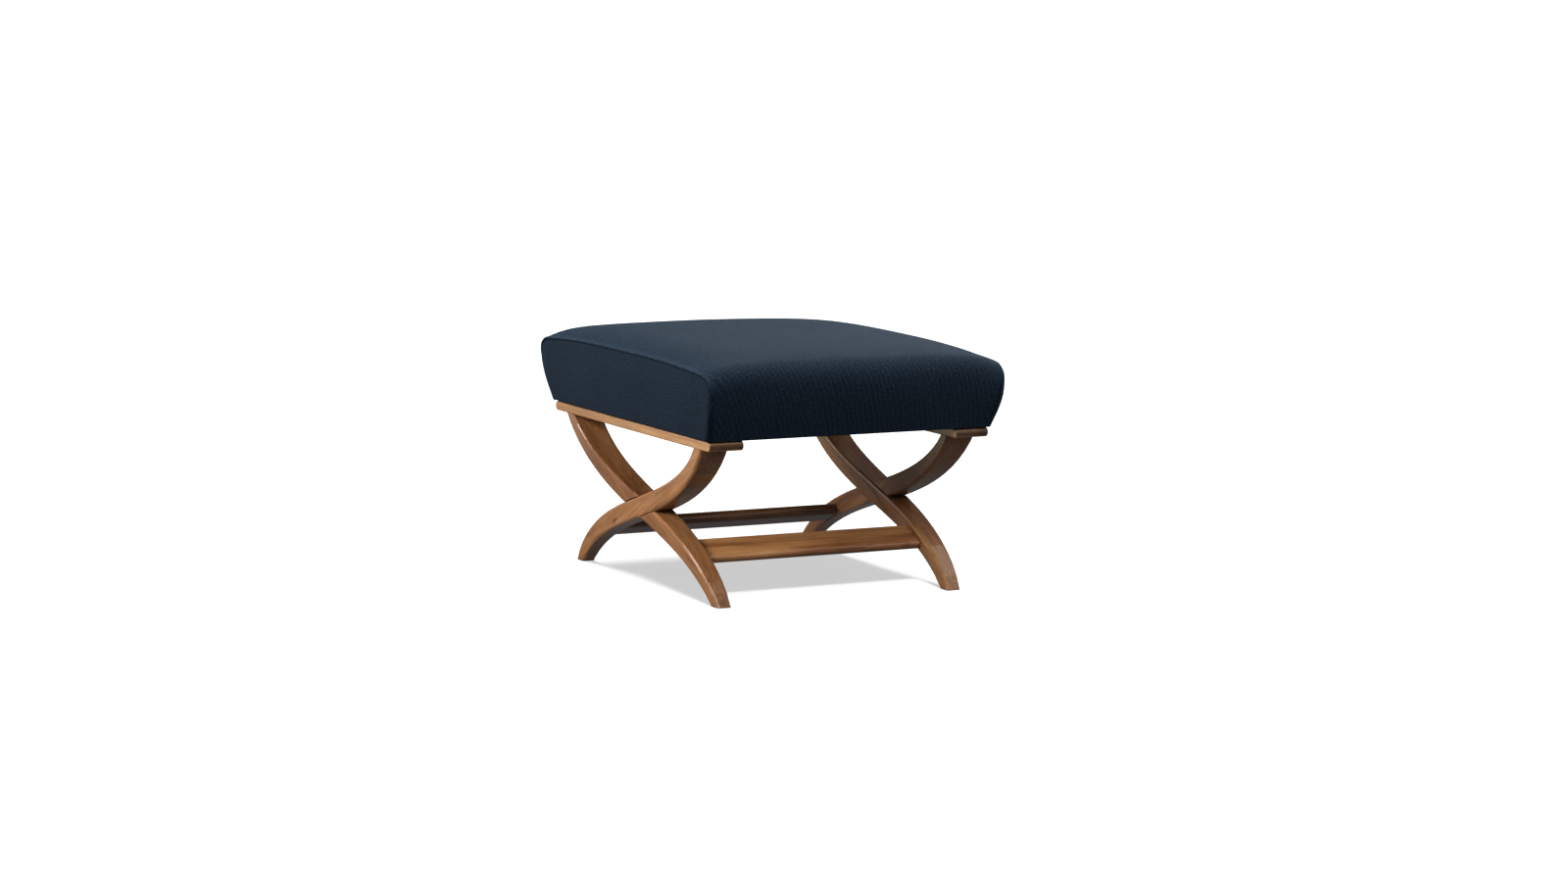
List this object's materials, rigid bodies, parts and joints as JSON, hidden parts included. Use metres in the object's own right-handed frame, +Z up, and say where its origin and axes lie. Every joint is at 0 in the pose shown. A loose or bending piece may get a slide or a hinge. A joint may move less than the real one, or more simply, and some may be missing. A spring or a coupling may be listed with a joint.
{
  "type": "pouf",
  "caption": "Upholstered footstool with a crowned, flared seat on crossed ogee-leg side frames tied by moulded stretchers.",
  "frame": {"origin": "on the floor, under the middle of the seat", "axes": "+Z up; +X along the front from left to right as the viewer of the front sees it; +Y from the front to the back"},
  "size_m": [0.5706, 0.638, 0.4222],
  "materials": {
    "wood": "satin clear lacquer over a mid brown stain",
    "dowel_wood": "bare turned beech",
    "frame_wood": "bare sawn softwood",
    "steel": "zinc plated",
    "webbing": "woven jute strap",
    "hessian": "loose plain weave",
    "foam": "cut foam, matt",
    "cover": "matt navy wool with a fine rib",
    "dust_cloth": "matt black felted cloth"
  },
  "bodies": {
    "root": {"front_left_leg": "wood", "front_right_leg": "wood", "back_left_leg": "wood", "back_right_leg": "wood", "left_top_rail": "wood", "right_top_rail": "wood", "front_stretcher": "wood", "back_stretcher": "wood", "front_left_rail_dowel_inner": "dowel_wood", "front_left_rail_dowel_outer": "dowel_wood", "front_left_stretcher_dowel_lower": "dowel_wood", "front_left_stretcher_dowel_upper": "dowel_wood", "corner_block_front_left": "frame_wood", "front_right_rail_dowel_inner": "dowel_wood", "front_right_rail_dowel_outer": "dowel_wood", "front_right_stretcher_dowel_lower": "dowel_wood", "front_right_stretcher_dowel_upper": "dowel_wood", "corner_block_front_right": "frame_wood", "back_left_rail_dowel_inner": "dowel_wood", "back_left_rail_dowel_outer": "dowel_wood", "back_left_stretcher_dowel_lower": "dowel_wood", "back_left_stretcher_dowel_upper": "dowel_wood", "corner_block_back_left": "frame_wood", "back_right_rail_dowel_inner": "dowel_wood", "back_right_rail_dowel_outer": "dowel_wood", "back_right_stretcher_dowel_lower": "dowel_wood", "back_right_stretcher_dowel_upper": "dowel_wood", "corner_block_back_right": "frame_wood", "left_rail_screw_front": "steel", "left_rail_screw_middle": "steel", "left_rail_screw_back": "steel", "right_rail_screw_front": "steel", "right_rail_screw_middle": "steel", "right_rail_screw_back": "steel", "seat_frame_front_board": "frame_wood", "seat_frame_back_board": "frame_wood", "seat_frame_left_board": "frame_wood", "seat_frame_right_board": "frame_wood", "webbing_front_to_back_1": "webbing", "webbing_front_to_back_2": "webbing", "webbing_front_to_back_3": "webbing", "webbing_front_to_back_4": "webbing", "webbing_side_to_side_1": "webbing", "webbing_side_to_side_2": "webbing", "webbing_side_to_side_3": "webbing", "webbing_side_to_side_4": "webbing", "hessian_sheet": "hessian", "foam_block": "foam", "edge_foam_front": "foam", "edge_foam_back": "foam", "edge_foam_left": "foam", "edge_foam_right": "foam", "cover_main_panel": "cover", "cover_left_panel": "cover", "cover_right_panel": "cover", "dust_cloth": "dust_cloth"}
  },
  "joints": []
}
